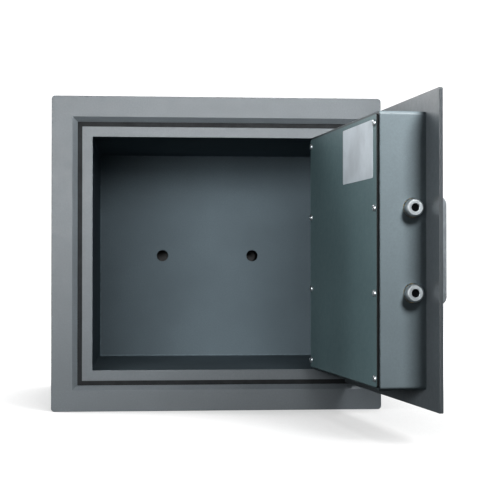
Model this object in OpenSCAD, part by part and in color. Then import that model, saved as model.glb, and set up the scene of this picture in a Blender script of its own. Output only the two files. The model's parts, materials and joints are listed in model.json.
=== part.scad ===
// Wall safe with one flush, key-locked door, standing open.
// +X is the viewer's right, -Y points out of the wall towards the viewer, +Z is up.
// The origin is the centre of the base. Depths are counted back from the face.
// Door pieces are written as they lie when shut, and door_pose() swings them about the hinge pins.

/* [Body] */
// Width of the face
body_w = 400; // [390:5:410]
// Height of the face
body_h = 380; // [370:5:420]
// Depth from the face to the back
body_d = 350; // [340:5:400]
// Radius of the long corners
corner_r = 4; // [4:0.5:8]
// Width of the face ring around the door recess
ring_w = 31; // [30:1:34]
// Thickness of the face ring, which is the depth of the recess
ring_t = 5; // [5:0.5:6]
// Width of the bevel on the ring's inner edge
bevel = 6; // [3:0.5:8]
// Depth of that bevel
bevel_deep = 4; // [2:0.5:4]
// Width of the seal strip around the recess's floor
seal_w = 5.5; // [4:0.5:8]
// Thickness of the seal strip
seal_t = 0.5; // [0.3:0.1:0.5]
// Width of the rebate lip that shows inside the recess
lip_w = 18; // [16:1:19]
// Thickness of the rebate lip
lip_t = 3; // [2:0.5:3]
// Sheet thickness of the outer shell
shell_t = 3; // [2:0.5:3]
// Thickness of the back plate
back_t = 4; // [3:0.5:6]
// Sheet thickness of the cavity lining
liner_t = 3; // [2:0.5:3]
// Step from the lip's edge out to the lining
liner_step = 4; // [3:0.5:5]
// Depth of the cavity from the face to its back wall
cavity_d = 300; // [280:5:310]

/* [Wall anchors] */
// Distance between the two anchor holes
anchor_span = 130; // [100:5:200]
// Diameter of the anchor holes
anchor_d = 16; // [12:1:16]
// Outer diameter of the anchor sleeves
sleeve_d = 22; // [20:1:26]

/* [Door] */
// Angle at which the door stands open
door_open = 97; // [0:1:160]
// Gap around the door plate
door_gap = 2.5; // [2:0.25:3]
// Thickness of the door plate
door_t = 4; // [3:0.5:4]
// Depth of the casing and its cover behind the door plate
casing_d = 50; // [46:1:60]
// Bare plate between the casing and the door's free edge
free_margin = 37.5; // [36:0.5:38]
// Bare plate between the casing and the door's hinge edge
hinge_margin = 25; // [22:1:35]
// Bare plate above and below the casing
top_margin = 19; // [18:1:30]
// Sheet thickness of the casing and its cover
casing_t = 2; // [1.5:0.5:2]
// Width of the casing's flanges, which carry the cover
flange_w = 16; // [14:1:20]
// Step from the casing's outside in to the cover's edge
cover_step = 3; // [1:0.5:3]
// Distance of the cover screws from the casing's outside
screw_in = 9; // [8:0.5:10]
// Vertical distance between neighbouring cover screws
screw_pitch = 84; // [78:1:84]

/* [Door fittings] */
// Length of the handle
handle_l = 108; // [100:1:120]
// Width of the handle
handle_w = 25; // [22:1:26]
// Height of the handle above the door
handle_h = 19; // [18:0.5:30]
// Thickness of the handle's grip
grip_t = 6; // [5:0.5:7]
// Length of each of the handle's feet
foot_l = 18; // [16:1:20]
// Distance of the handle's centre from the door's free edge
handle_in = 52.5; // [50:0.5:54]
// Width of the badge
badge_w = 60; // [40:1:70]
// Height of the badge
badge_h = 14; // [10:1:20]
// Width of the label on the cover
label_w = 109; // [80:1:120]
// Height of the label on the cover
label_h = 58; // [40:1:64]

/* [Hinges] */
// Distance of the pins from the side of the body
pin_in = 36; // [35:0.5:36]
// Distance of the pins in front of the face
pin_out = 5; // [5:0.25:6]
// Diameter of the pins
pin_d = 5; // [4:0.5:5]
// Diameter of the knuckles
knuckle_d = 9; // [8.5:0.5:9]
// Height of one knuckle
knuckle_h = 9; // [7:0.5:10]
// Thickness of the washer between two knuckles
washer_t = 0.8; // [0.5:0.1:0.9]
// Distance of each hinge above or below the middle of the door
hinge_rise = 145.5; // [100:0.5:146]

/* [Boltwork] */
// Diameter of the shooting bolts
bolt_d = 18; // [16:0.5:18]
// Vertical distance between the two bolts
bolt_pitch = 84; // [84:1:90]
// How far the withdrawn bolts stand out of the casing
bolt_proud = 9; // [6:0.5:10]
// Travel of the bolts
bolt_throw = 26; // [22:1:27]
// Teeth on the key pinion
pinion_teeth = 16; // [14:1:16]
// Height of the keyhole below the middle of the door
keyhole_drop = 18; // [18:0.25:18.25]
// Distance of the keyhole from the door's free edge
keyhole_in = 86.5; // [86:0.5:87]
// Diameter of the keyhole
keyhole_d = 10; // [9.5:0.5:10]
// Number of levers in the lock
lever_count = 5; // [3:1:5]

/* [Hidden] */
$fn = 48;

face_paint = [0.46, 0.50, 0.53];
lining_paint = [0.33, 0.38, 0.41];
casing_paint = [0.40, 0.46, 0.49];
cover_paint = [0.24, 0.31, 0.33];
handle_paint = [0.37, 0.41, 0.44];
plated_steel = [0.62, 0.66, 0.67];
bare_steel = [0.50, 0.52, 0.54];
brass_metal = [0.72, 0.60, 0.33];
badge_metal = [0.80, 0.81, 0.80];
label_paper = [0.82, 0.86, 0.88];
fill_cast = [0.62, 0.60, 0.56];
seal_black = [0.08, 0.09, 0.10];

mid_z = body_h / 2;
cut = 1;                          // how far a cutter runs past the faces it opens
running = 0.05;                   // radial clearance of a bearing
loose = 0.2;                      // radial clearance of a screw or stud hole

// Body
recess_w = body_w - 2 * ring_w;
recess_h = body_h - 2 * ring_w;
mouth_w = recess_w - 2 * lip_w;
mouth_h = recess_h - 2 * lip_w;
lip_back = ring_t + lip_t;
cavity_w = mouth_w + 2 * liner_step;
cavity_h = mouth_h + 2 * liner_step;
inside_w = body_w - 2 * shell_t;
inside_h = body_h - 2 * shell_t;
inside_r = corner_r - shell_t;
back_front = body_d - back_t;

// Door
plate_w = recess_w - 2 * door_gap;
plate_h = recess_h - 2 * door_gap;
casing_left = -plate_w / 2 + free_margin;
casing_right = plate_w / 2 - hinge_margin;
casing_w = casing_right - casing_left;
casing_h = plate_h - 2 * top_margin;
casing_mid = (casing_left + casing_right) / 2;
cover_back = door_t + casing_d;
flange_back = cover_back - casing_t;
screw_d = 4;
screw_head_d = 7.6;
screw_head_h = 2.2;
screw_l = 6;
screw_spots = [for (x = [casing_left + screw_in, casing_right - screw_in], k = [-1.5:1:1.5])
               [x, mid_z + k * screw_pitch]];
screw_cross = [4, 0.9, 1];        // length, width and depth of the cross slots
plate_r = 1.5;
label_t = 0.3;
label_r = 2;
label_in = 15;                    // from the casing's outside to the label's edge
label_rise = 101;
label_x = casing_left + label_in + label_w / 2;
badge_t = 1.2;
badge_r = 2;
badge_in = 45;                    // from the door's free edge to the badge's centre
badge_rise = 127;
badge_x = -plate_w / 2 + badge_in;
handle_x = -plate_w / 2 + handle_in;
handle_r = 8;
finger_r = 5;
handle_screw_d = 5;
handle_screw_l = 10;              // length inside the handle
handle_bore_l = 12;
handle_head_d = 8.5;
handle_head_h = 3;
handle_screw_rise = (handle_l - foot_l) / 2;

// Hinges
hinge_x = body_w / 2 - pin_in;
knuckle_gap = 1;
leaf_t = 3.5;
frame_leaf_l = 19;
door_leaf_l = 15;
leaf_start = plate_w / 2 + 0.5;   // the frame's leaf stays just clear of the door plate
hinge_mids = [mid_z - hinge_rise, mid_z + hinge_rise];

// Boltwork
bolt_behind_lip = 1;
bolt_y = lip_back + bolt_behind_lip + bolt_d / 2;
bolt_zs = [mid_z - bolt_pitch / 2, mid_z + bolt_pitch / 2];
bolt_tip = casing_left - bolt_proud;
bolt_tip_bevel = 1.5;
tip_bore_d = 8;
tip_bore_l = 3;
socket_deep = 18;
socket_wall = 2;
socket_room = 3;
socket_half = bolt_d / 2 + socket_room;
socket_back = bolt_y + socket_half;
notch_d = bolt_d + 2;
hard_t = 3;
hard_back = door_t + hard_t;
hard_w = 120;
hard_h = 116;
hard_left = -122;
bar_t = 6;
bar_deep = 20;
bar_left = -20;
bar_right = bar_left + bar_t;
bar_half = bolt_pitch / 2 + 12;
tail_d = 10;
tail_end = bar_right + 8;
nut_t = 6;
nut_af = 16;
guide_left = -60;
guide_right = -50;
guide_half = bolt_d / 2 + 3;
bush_l = 12;
bush_wall = 1.8;

// Lock
lock_t = 1.5;
lock_left = -100;
lock_right = -48;
lock_half = 29;
lock_back = bolt_y + 11;
stud_d = 4;
stud_in = 4.5;
stud_end = lock_back + 7;
stud_nut_t = 3.2;
stud_nut_af = 7;
stud_spots = [for (x = [lock_left + stud_in, lock_right - stud_in], z = [-1, 1])
              [x, mid_z + z * (lock_half - stud_in)]];
key_x = -plate_w / 2 + keyhole_in;
key_z = mid_z - keyhole_drop;
key_slot_w = 3;
key_slot_r = 6.2;

// Pinion and rack, with teeth of module 1
tooth_module = 1;
pressure_angle = 20;
backlash = 0.1;
pinion_r = pinion_teeth * tooth_module / 2;
pinion_tip = pinion_r + 0.85 * tooth_module;
pinion_root = pinion_r - 1.25 * tooth_module;
tooth_pitch = PI * tooth_module;
rotor_hub_d = 15;
rotor_bush_d = rotor_hub_d + 3;
rotor_front = hard_back + 0.2;
rack_t = 6;
rack_front = bolt_y - rack_t;
rack_back = bolt_y;
rotor_back = rack_back + 1;
rack_left = -92;
rack_top = mid_z + 2;
rack_pitch_z = key_z + pinion_r;
rack_root = rack_pitch_z + 1.25 * tooth_module;
rack_tip = rack_pitch_z - 0.85 * tooth_module;
rack_slide = 0.3;
end_gap = 0.4;                    // left at the end of a pin or bush that nothing touches
first_tooth = -3;
last_tooth = 11;
spigot_d = 5;
spigot_nut_t = 4;
spigot_nut_af = 8;
spigot_z = (rack_root + rack_top) / 2;
spigot_y = (rack_front + rack_back) / 2;
stump_d = 4;
stump_x = -64;
stump_z = mid_z - 4;

// Levers
post_d = 5;
collar_d = 8;
post_x = -62;
post_z = mid_z + 16;
lever_t = 1.5;
lever_step = 1.8;
lever_front = rotor_back + 0.7;
lever_r = 6;
lever_left = -95.5;
lever_bottom = mid_z - 12;
window_w = 32.8;
window_h = 7.5;
window_edge = 3;
seat_half = 4;
spring_t = 0.6;
spring_w = 1;
spring_l = 28;
spring_rise = 2.8;
spring_in = 0.25;                 // from the lever's front to its spring

// ---- Shared shapes ----

// Box between two opposite corners
module block(low, high) translate(low) cube(high - low);

// Rectangle with round corners, centred on x, z
module rounded_rect(w, h, r, x = 0, z = 0) translate([x, z]) {
    square([w - 2 * r, h], center = true);
    square([w, h - 2 * r], center = true);
    for (sx = [-1, 1], sz = [-1, 1]) translate([sx * (w / 2 - r), sz * (h / 2 - r)]) circle(r);
}

// Upright plate: an outline drawn in X and Z, from depth y0 back to depth y1
module upright(y0, y1) translate([0, y1, 0]) rotate([90, 0, 0]) linear_extrude(y1 - y0) children();

// Round bar along Y, from depth y0 to depth y1
module rod_y(d, x, z, y0, y1) translate([x, y0, z]) rotate([-90, 0, 0]) cylinder(d = d, h = y1 - y0);

// Round bar along X, from x0 to x1
module rod_x(d, y, z, x0, x1) translate([x0, y, z]) rotate([0, 90, 0]) cylinder(d = d, h = x1 - x0);

// Hexagon nut along Y with its flats af apart
module nut_y(af, bore, x, z, y0, y1) difference() {
    translate([x, y0, z]) rotate([-90, 0, 0]) cylinder(d = af / cos(30), h = y1 - y0, $fn = 6);
    rod_y(bore, x, z, y0 - cut, y1 + cut);
}

// Hexagon nut along X with its flats af apart
module nut_x(af, bore, y, z, x0, x1) difference() {
    translate([x0, y, z]) rotate([0, 90, 0]) cylinder(d = af / cos(30), h = x1 - x0, $fn = 6);
    rod_x(bore, y, z, x0 - cut, x1 + cut);
}

// Depths are counted from the face of the safe
module from_face() translate([0, -body_d / 2, 0]) children();

// Swings a shut door piece about the hinge pins to where the door stands
module door_pose() from_face() translate([hinge_x, -pin_out, 0]) rotate([0, 0, door_open])
    translate([-hinge_x, pin_out, 0]) children();

// ---- Body ----

// Outline in depth of the pyramid that cuts the recess's bevel, for an opening of width w
module bevel_outline(w) {
    flare = w / 2 + bevel * (1 + cut / bevel_deep);
    polygon([[-flare, -cut], [flare, -cut], [w / 2, bevel_deep], [-w / 2, bevel_deep]]);
}

module bevel_cutter() translate([0, 0, mid_z]) intersection() {
    linear_extrude(body_h, center = true) bevel_outline(recess_w);
    rotate([0, 90, 0]) linear_extrude(body_w, center = true) bevel_outline(recess_h);
}

module front_frame() color(face_paint) from_face() difference() {
    upright(0, ring_t) rounded_rect(body_w, body_h, corner_r, 0, mid_z);
    upright(-cut, ring_t + cut) translate([0, mid_z]) square([recess_w, recess_h], center = true);
    bevel_cutter();
}

module rebate_plate() color(face_paint) from_face() upright(ring_t, lip_back) difference() {
    rounded_rect(inside_w, inside_h, inside_r, 0, mid_z);
    translate([0, mid_z]) square([mouth_w, mouth_h], center = true);
}

// Thin strip that the door's edge closes on
module seal_strip() color(seal_black) from_face() upright(ring_t - seal_t, ring_t)
    translate([0, mid_z]) difference() {
        square([recess_w, recess_h], center = true);
        square([recess_w - 2 * seal_w, recess_h - 2 * seal_w], center = true);
    }

module outer_shell() color(face_paint) from_face() upright(ring_t, back_front) difference() {
    rounded_rect(body_w, body_h, corner_r, 0, mid_z);
    rounded_rect(inside_w, inside_h, inside_r, 0, mid_z);
}

module back_plate() color(face_paint) from_face()
    upright(back_front, body_d) rounded_rect(body_w, body_h, corner_r, 0, mid_z);

// The anchor holes run from the cavity to the back plate, which is drilled when the safe is installed
module anchor_bores(d, y0, y1) for (side = [-1, 1])
    rod_y(d, side * anchor_span / 2, mid_z, y0, y1);

// Box around the cavity, grown by a wall, from the lip back to depth y1
module cavity_block(wall, y0, y1) block(
    [-cavity_w / 2 - wall, y0, mid_z - cavity_h / 2 - wall],
    [cavity_w / 2 + wall, y1, mid_z + cavity_h / 2 + wall]);

// Notches in the lining's left wall, open at its front edge, where the bolts pass
module bolt_notches() for (z = bolt_zs) {
    rod_x(notch_d, bolt_y, z, -cavity_w / 2 - liner_t - cut, -cavity_w / 2 + cut);
    block([-cavity_w / 2 - liner_t - cut, lip_back - cut, z - notch_d / 2],
          [-cavity_w / 2 + cut, bolt_y, z + notch_d / 2]);
}

module inner_box() color(lining_paint) from_face() difference() {
    cavity_block(liner_t, lip_back, cavity_d + liner_t);
    cavity_block(0, lip_back - cut, cavity_d);
    anchor_bores(anchor_d, cavity_d - cut, cavity_d + liner_t + cut);
    bolt_notches();
}

module socket_block(z, wall, y0, x1) block(
    [-cavity_w / 2 - liner_t - socket_deep - wall, y0, z - socket_half - wall],
    [x1, socket_back + wall, z + socket_half + wall]);

module bolt_sockets() color(bare_steel) from_face() for (z = bolt_zs) difference() {
    socket_block(z, socket_wall, lip_back, -cavity_w / 2 - liner_t);
    socket_block(z, 0, lip_back - cut, -cavity_w / 2);
}

module anchor_sleeves() color(bare_steel) from_face() difference() {
    anchor_bores(sleeve_d, cavity_d + liner_t, back_front);
    anchor_bores(anchor_d, cavity_d, back_front + cut);
}

module barrier_fill() color(fill_cast) from_face() difference() {
    upright(lip_back, back_front) rounded_rect(inside_w, inside_h, inside_r, 0, mid_z);
    cavity_block(liner_t, lip_back - cut, cavity_d + liner_t);
    anchor_bores(sleeve_d + 2 * loose, cavity_d, back_front + cut);
    for (z = bolt_zs) socket_block(z, socket_wall, lip_back - cut, -cavity_w / 2);
}

// ---- Hinges ----

// One knuckle with its leaf, which lies on the face from x0 to x1
module knuckle(z0, x0, x1, bore) difference() {
    union() {
        translate([hinge_x, -pin_out, z0]) cylinder(d = knuckle_d, h = knuckle_h);
        block([x0, -leaf_t, z0], [x1, 0, z0 + knuckle_h]);
    }
    translate([hinge_x, -pin_out, z0 - cut]) cylinder(d = bore, h = knuckle_h + 2 * cut);
}

module frame_knuckles() color(face_paint) from_face() for (z = hinge_mids)
    knuckle(z - knuckle_gap / 2 - knuckle_h, leaf_start, hinge_x + frame_leaf_l, pin_d);

module door_knuckles() color(face_paint) door_pose() for (z = hinge_mids)
    knuckle(z + knuckle_gap / 2, hinge_x - door_leaf_l, hinge_x, pin_d + 2 * running);

module hinge_pins() color(bare_steel) from_face() for (z = hinge_mids)
    translate([hinge_x, -pin_out, z - knuckle_gap / 2 - knuckle_h])
        cylinder(d = pin_d, h = 2 * knuckle_h + knuckle_gap);

module hinge_washers() color(brass_metal) from_face() for (z = hinge_mids)
    translate([hinge_x, -pin_out, z - knuckle_gap / 2]) difference() {
        cylinder(d = knuckle_d, h = washer_t);
        translate([0, 0, -cut]) cylinder(d = pin_d + 2 * running, h = washer_t + 2 * cut);
    }

// ---- Door shell ----

// Round hole with the slot below it for the key's bit
module keyhole_outline(d) {
    translate([key_x, key_z]) circle(d = d);
    translate([key_x - key_slot_w / 2, key_z - key_slot_r]) square([key_slot_w, key_slot_r]);
}

module handle_bores(d, y0, y1) for (side = [-1, 1])
    rod_y(d, handle_x, mid_z + side * handle_screw_rise, y0, y1);

module door_plate() color(face_paint) door_pose() difference() {
    upright(0, door_t) rounded_rect(plate_w, plate_h, plate_r, 0, mid_z);
    upright(-cut, door_t + cut) keyhole_outline(keyhole_d);
    handle_bores(handle_screw_d + 2 * loose, -cut, door_t + cut);
}

module screw_bores(d) for (spot = screw_spots)
    rod_y(d, spot[0], spot[1], flange_back - casing_t - cut, cover_back + cut);

module casing() color(casing_paint) door_pose() difference() {
    union() {
        upright(door_t, flange_back) difference() {
            rounded_rect(casing_w, casing_h, 2 * casing_t, casing_mid, mid_z);
            rounded_rect(casing_w - 2 * casing_t, casing_h - 2 * casing_t, casing_t, casing_mid, mid_z);
        }
        upright(flange_back - casing_t, flange_back) difference() {
            rounded_rect(casing_w, casing_h, 2 * casing_t, casing_mid, mid_z);
            translate([casing_mid, mid_z])
                square([casing_w - 2 * flange_w, casing_h - 2 * flange_w], center = true);
        }
    }
    screw_bores(screw_d);
    for (z = bolt_zs) rod_x(bolt_d + 1, bolt_y, z, casing_left - cut, casing_left + casing_t + cut);
}

module casing_cover() color(cover_paint) door_pose() difference() {
    upright(flange_back, cover_back)
        rounded_rect(casing_w - 2 * cover_step, casing_h - 2 * cover_step, casing_t, casing_mid, mid_z);
    screw_bores(screw_d + 2 * loose);
}

// Pan-head screw pointing at the face, with its head on the cover
module cover_screw() {
    rotate([90, 0, 0]) cylinder(d = screw_d, h = screw_l);
    rotate([-90, 0, 0]) difference() {
        cylinder(d1 = screw_head_d, d2 = screw_head_d - screw_head_h, h = screw_head_h);
        for (turn = [0, 90]) rotate(turn) translate([0, 0, screw_head_h + cut - screw_cross[2]])
            cube([screw_cross[0], screw_cross[1], 2 * cut], center = true);
    }
}

module cover_screws() color(plated_steel) door_pose() for (spot = screw_spots)
    translate([spot[0], cover_back, spot[1]]) cover_screw();

module label() color(label_paper) door_pose() upright(cover_back, cover_back + label_t)
    rounded_rect(label_w, label_h, label_r, label_x, mid_z + label_rise);

module badge() color(badge_metal) door_pose() upright(-badge_t, 0)
    rounded_rect(badge_w, badge_h, badge_r, badge_x, mid_z + badge_rise);

// ---- Handle ----

// Side view of an arch: x runs along it and y away from the door
module arch(l, h, r, base) {
    translate([-l / 2, base]) square([l, h - r - base]);
    translate([-l / 2 + r, base]) square([l - 2 * r, h - base]);
    for (side = [-1, 1]) translate([side * (l / 2 - r), h - r]) circle(r);
}

module handle_body() intersection() {
    translate([handle_x - handle_w / 2, 0, mid_z]) rotate([0, -90, 180]) linear_extrude(handle_w)
        difference() {
            arch(handle_l, handle_h, handle_r, 0);
            arch(handle_l - 2 * foot_l, handle_h - grip_t, finger_r, -cut);
        }
    upright(-handle_h - cut, cut) rounded_rect(handle_w, handle_l, finger_r, handle_x, mid_z);
}

module handle() color(handle_paint) door_pose() difference() {
    handle_body();
    handle_bores(handle_screw_d, -handle_bore_l, cut);
}

module handle_screws() color(bare_steel) door_pose() {
    handle_bores(handle_screw_d, -handle_screw_l, door_t);
    handle_bores(handle_head_d, door_t, door_t + handle_head_h);
}

// ---- Fixed parts of the boltwork ----

module hard_plate() color(bare_steel) door_pose() difference() {
    upright(door_t, hard_back) translate([hard_left, mid_z - hard_h / 2]) square([hard_w, hard_h]);
    handle_bores(handle_head_d + 2, door_t - cut, hard_back + cut);
    upright(door_t - cut, hard_back + cut) keyhole_outline(keyhole_d + 1);
    for (spot = stud_spots)
        rod_y(stud_d + 2 * loose, spot[0], spot[1], door_t - cut, hard_back + cut);
}

module bolt_bushes() color(brass_metal) door_pose() for (z = bolt_zs) difference() {
    rod_x(bolt_d + 2 * bush_wall, bolt_y, z, casing_left + casing_t, casing_left + casing_t + bush_l);
    rod_x(bolt_d + 2 * running, bolt_y, z, casing_left, casing_left + casing_t + bush_l + cut);
}

module bolt_guides() color(bare_steel) door_pose() for (z = bolt_zs) difference() {
    block([guide_left, hard_back, z - guide_half], [guide_right, 2 * bolt_y - hard_back, z + guide_half]);
    rod_x(bolt_d + 2 * running, bolt_y, z, guide_left - cut, guide_right + cut);
}

module lock_outline(inset) translate([(lock_left + lock_right) / 2, mid_z])
    square([lock_right - lock_left - 2 * inset, 2 * (lock_half - inset)], center = true);

module stud_bores(y0, y1) for (spot = stud_spots)
    rod_y(stud_d + 2 * loose, spot[0], spot[1], y0, y1);

module lock_case() color(plated_steel) door_pose() difference() {
    upright(hard_back, lock_back) lock_outline(0);
    upright(hard_back + lock_t, lock_back + cut) lock_outline(lock_t);
    stud_bores(hard_back - cut, lock_back);
    rod_y(rotor_bush_d, key_x, key_z, hard_back - cut, hard_back + lock_t + cut);
    block([lock_left - cut, rack_front - rack_slide, rack_tip - rack_slide],
          [lock_right + cut, rack_back + rack_slide, rack_top + rack_slide]);
}

module lock_cover() color(plated_steel) door_pose() difference() {
    upright(lock_back, lock_back + lock_t) lock_outline(0);
    stud_bores(lock_back - cut, lock_back + lock_t + cut);
}

module lock_studs() color(bare_steel) door_pose() for (spot = stud_spots)
    rod_y(stud_d, spot[0], spot[1], door_t, stud_end);

module lock_nuts() color(plated_steel) door_pose() for (spot = stud_spots)
    nut_y(stud_nut_af, stud_d, spot[0], spot[1], lock_back + lock_t, lock_back + lock_t + stud_nut_t);

module rotor_bush() color(brass_metal) door_pose() difference() {
    rod_y(rotor_bush_d, key_x, key_z, hard_back, rack_front - end_gap);
    rod_y(rotor_hub_d + 2 * running, key_x, key_z, hard_back - cut, rack_front);
}

module lever_post() color(bare_steel) door_pose() {
    rod_y(collar_d, post_x, post_z, hard_back + lock_t, lever_front - end_gap);
    rod_y(post_d, post_x, post_z, lever_front - end_gap, lock_back);
}

// ---- Sliding boltwork ----

module shooting_bolts() color(plated_steel) door_pose() for (z = bolt_zs) difference() {
    union() {
        rod_x(bolt_d, bolt_y, z, bolt_tip + bolt_tip_bevel, bar_left);
        translate([bolt_tip, bolt_y, z]) rotate([0, 90, 0])
            cylinder(d1 = bolt_d - 2 * bolt_tip_bevel, d2 = bolt_d, h = bolt_tip_bevel);
        rod_x(tail_d, bolt_y, z, bar_left, tail_end);
    }
    rod_x(tip_bore_d, bolt_y, z, bolt_tip - cut, bolt_tip + tip_bore_l);
}

module bolt_bar() color(bare_steel) door_pose() difference() {
    block([bar_left, bolt_y - bar_deep / 2, mid_z - bar_half],
          [bar_right, bolt_y + bar_deep / 2, mid_z + bar_half]);
    for (z = bolt_zs) rod_x(tail_d, bolt_y, z, bar_left - cut, bar_right + cut);
    rod_x(spigot_d, spigot_y, spigot_z, bar_left - cut, bar_right + cut);
}

module bolt_nuts() color(plated_steel) door_pose() {
    for (z = bolt_zs) nut_x(nut_af, tail_d, bolt_y, z, bar_right, bar_right + nut_t);
    nut_x(spigot_nut_af, spigot_d, spigot_y, spigot_z, bar_right, bar_right + spigot_nut_t);
}

// One rack tooth, pointing down, centred on x = 0
module rack_tooth() {
    root_half = (tooth_pitch / 4 - backlash / 2) + (rack_root - rack_pitch_z) * tan(pressure_angle);
    tip_half = (tooth_pitch / 4 - backlash / 2) - (rack_pitch_z - rack_tip) * tan(pressure_angle);
    polygon([[-root_half, rack_root], [-tip_half, rack_tip], [tip_half, rack_tip],
             [root_half, rack_root], [root_half, rack_root + cut], [-root_half, rack_root + cut]]);
}

// Teeth cover the stretch that passes the pinion, from just left of it at rest
module rack_outline() {
    translate([rack_left, rack_root]) square([bar_left - rack_left, rack_top - rack_root]);
    for (k = [first_tooth:last_tooth]) translate([key_x + (k + 0.5) * tooth_pitch, 0]) rack_tooth();
}

module drive_rack() color(bare_steel) door_pose() {
    upright(rack_front, rack_back) rack_outline();
    rod_x(spigot_d, spigot_y, spigot_z, bar_left - cut, bar_right + spigot_nut_t + 2);
    rod_y(stump_d, stump_x, stump_z, rack_back - cut, lock_back - end_gap);
}

// ---- Key rotor ----

// Point of the involute of a circle of radius r, unrolled by an angle in degrees
function involute(r, angle) = r * [cos(angle) + angle * PI / 180 * sin(angle),
                                   sin(angle) - angle * PI / 180 * cos(angle)];
// The same point turned by an angle, and mirrored for the other flank
function flank(r, angle, turn, side) = let (p = involute(r, angle))
    [p[0] * cos(turn) - p[1] * sin(turn), side * (p[0] * sin(turn) + p[1] * cos(turn))];

// One pinion tooth along +X, from its root to its tip
module pinion_tooth() {
    base_r = pinion_r * cos(pressure_angle);
    unroll = sqrt(pow(pinion_tip / base_r, 2) - 1) * 180 / PI;
    half_angle = 90 / pinion_teeth - backlash / pinion_r * 90 / PI;
    turn = -half_angle - (tan(pressure_angle) * 180 / PI - pressure_angle);
    lower = [for (k = [0:4]) flank(base_r, unroll * k / 4, turn, 1)];
    upper = [for (k = [4:-1:0]) flank(base_r, unroll * k / 4, turn, -1)];
    foot = (pinion_root - 1) * [cos(half_angle), sin(half_angle)];
    polygon(concat([[foot[0], -foot[1]]], lower, upper, [foot]));
}

module pinion_outline() {
    circle(pinion_root);
    for (k = [0:pinion_teeth - 1]) rotate(90 + k * 360 / pinion_teeth) pinion_tooth();
}

module key_rotor() color(brass_metal) door_pose() difference() {
    union() {
        rod_y(rotor_hub_d, key_x, key_z, rotor_front, rack_front);
        upright(rack_front, rack_back) translate([key_x, key_z]) pinion_outline();
        rod_y(rotor_hub_d, key_x, key_z, rack_back, rotor_back);
    }
    upright(rotor_front - cut, rotor_back + cut) keyhole_outline(keyhole_d - 1);
}

// ---- Levers ----

// Lever with its pivot, its window for the rack's stump, and a flat seat for its spring
module lever_outline() difference() {
    union() {
        polygon([[lever_left, lever_bottom], [post_x + lever_r, lever_bottom],
                 [post_x + lever_r, post_z], [post_x - lever_r, post_z], [lever_left, mid_z + 4]]);
        translate([post_x, post_z]) circle(lever_r);
        translate([post_x - seat_half, post_z]) square([2 * seat_half, lever_r]);
    }
    translate([post_x, post_z]) circle(d = post_d + 2 * running);
    translate([lever_left + window_edge, lever_bottom + window_edge]) square([window_w, window_h]);
}

module lever_pack() color(brass_metal) door_pose() for (k = [0:lever_count - 1])
    upright(lever_front + k * lever_step, lever_front + k * lever_step + lever_t) lever_outline();

// Blade from the lever's seat, rising to the left
module spring_outline() {
    seat = post_z + lever_r;
    polygon([[post_x + seat_half, seat], [post_x + seat_half, seat + spring_t],
             [post_x - seat_half, seat + spring_t], [post_x - spring_l, seat + spring_rise],
             [post_x - spring_l, seat + spring_rise - spring_t], [post_x - seat_half, seat]]);
}

module lever_springs() color(plated_steel) door_pose() for (k = [0:lever_count - 1])
    translate([0, lever_front + k * lever_step + spring_in, 0]) upright(0, spring_w) spring_outline();

// ---- Output ----

front_frame();
rebate_plate();
seal_strip();
outer_shell();
back_plate();
inner_box();
barrier_fill();
anchor_sleeves();
bolt_sockets();
frame_knuckles();
hinge_pins();
hinge_washers();
door_plate();
door_knuckles();
casing();
casing_cover();
cover_screws();
label();
badge();
handle();
handle_screws();
hard_plate();
bolt_bushes();
bolt_guides();
lock_case();
lock_cover();
lock_studs();
lock_nuts();
rotor_bush();
lever_post();
shooting_bolts();
bolt_bar();
bolt_nuts();
drive_rack();
key_rotor();
lever_pack();
lever_springs();
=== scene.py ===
import json
import math

import bmesh
import bpy
from mathutils import Matrix, Vector


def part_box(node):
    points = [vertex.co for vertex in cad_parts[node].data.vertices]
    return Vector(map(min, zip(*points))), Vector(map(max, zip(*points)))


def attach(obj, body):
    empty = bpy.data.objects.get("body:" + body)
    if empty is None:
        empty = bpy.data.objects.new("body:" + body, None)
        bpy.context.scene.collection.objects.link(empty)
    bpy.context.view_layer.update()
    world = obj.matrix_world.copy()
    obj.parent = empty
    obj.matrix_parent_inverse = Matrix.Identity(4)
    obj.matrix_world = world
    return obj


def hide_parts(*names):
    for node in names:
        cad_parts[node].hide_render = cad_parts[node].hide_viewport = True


MM = 0.001                # a millimetre, in metres
CORNER_STEPS = 6          # segments in a quarter turn of a sheet's corner
FILLET_STEPS = 3          # segments in a rounded edge
ROUND_STEPS = 48          # segments round a turned part
AXIS_R = 0.02 * MM        # radius of a turned part's path where it meets the axis
SHARP = 35                # edges that turn more than this many degrees are shaded sharp
FLAT_CORNERS = 8          # a face with more corners than this is a flat one around a cut
PAST = 1 * MM             # how far a cutter runs past a face

# The "wear" attribute is 1 on a rounded edge, whose tone is lighter as wear and a painted highlight, darker
# as painted shade; 0 on a plain face; below 0 where the surface turns to dark mill scale, bare steel and
# painted shade.
# Half way to mill scale: painted shade along the door plate's edges.
PAINTED_EDGE_SHADE = -0.5
# Full mill scale: bare steel on the back plate's inner side, and painted shade in bores, holes and along the
# cover's edge.
BARE_AND_SHADED = -1.0

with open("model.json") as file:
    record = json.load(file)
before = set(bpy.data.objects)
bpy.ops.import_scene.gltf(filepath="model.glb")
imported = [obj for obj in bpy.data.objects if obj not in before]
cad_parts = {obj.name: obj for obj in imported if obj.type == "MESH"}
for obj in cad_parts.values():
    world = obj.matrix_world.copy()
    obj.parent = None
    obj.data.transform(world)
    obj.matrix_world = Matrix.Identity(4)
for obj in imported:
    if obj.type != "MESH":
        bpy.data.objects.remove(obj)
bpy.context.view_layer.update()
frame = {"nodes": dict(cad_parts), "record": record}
record = frame["record"]
nodes = frame["nodes"]
body_of_node = {n: body for body, members in record["behaviour"]["bodies"].items() for n in members}
slot_of_node = {row["node"]: row["material_slot"] for row in record["subparts"]}


def named(rows, name):
    """The row of this name in one of the record's lists."""
    return next(row for row in rows if row["name"] == name)


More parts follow.
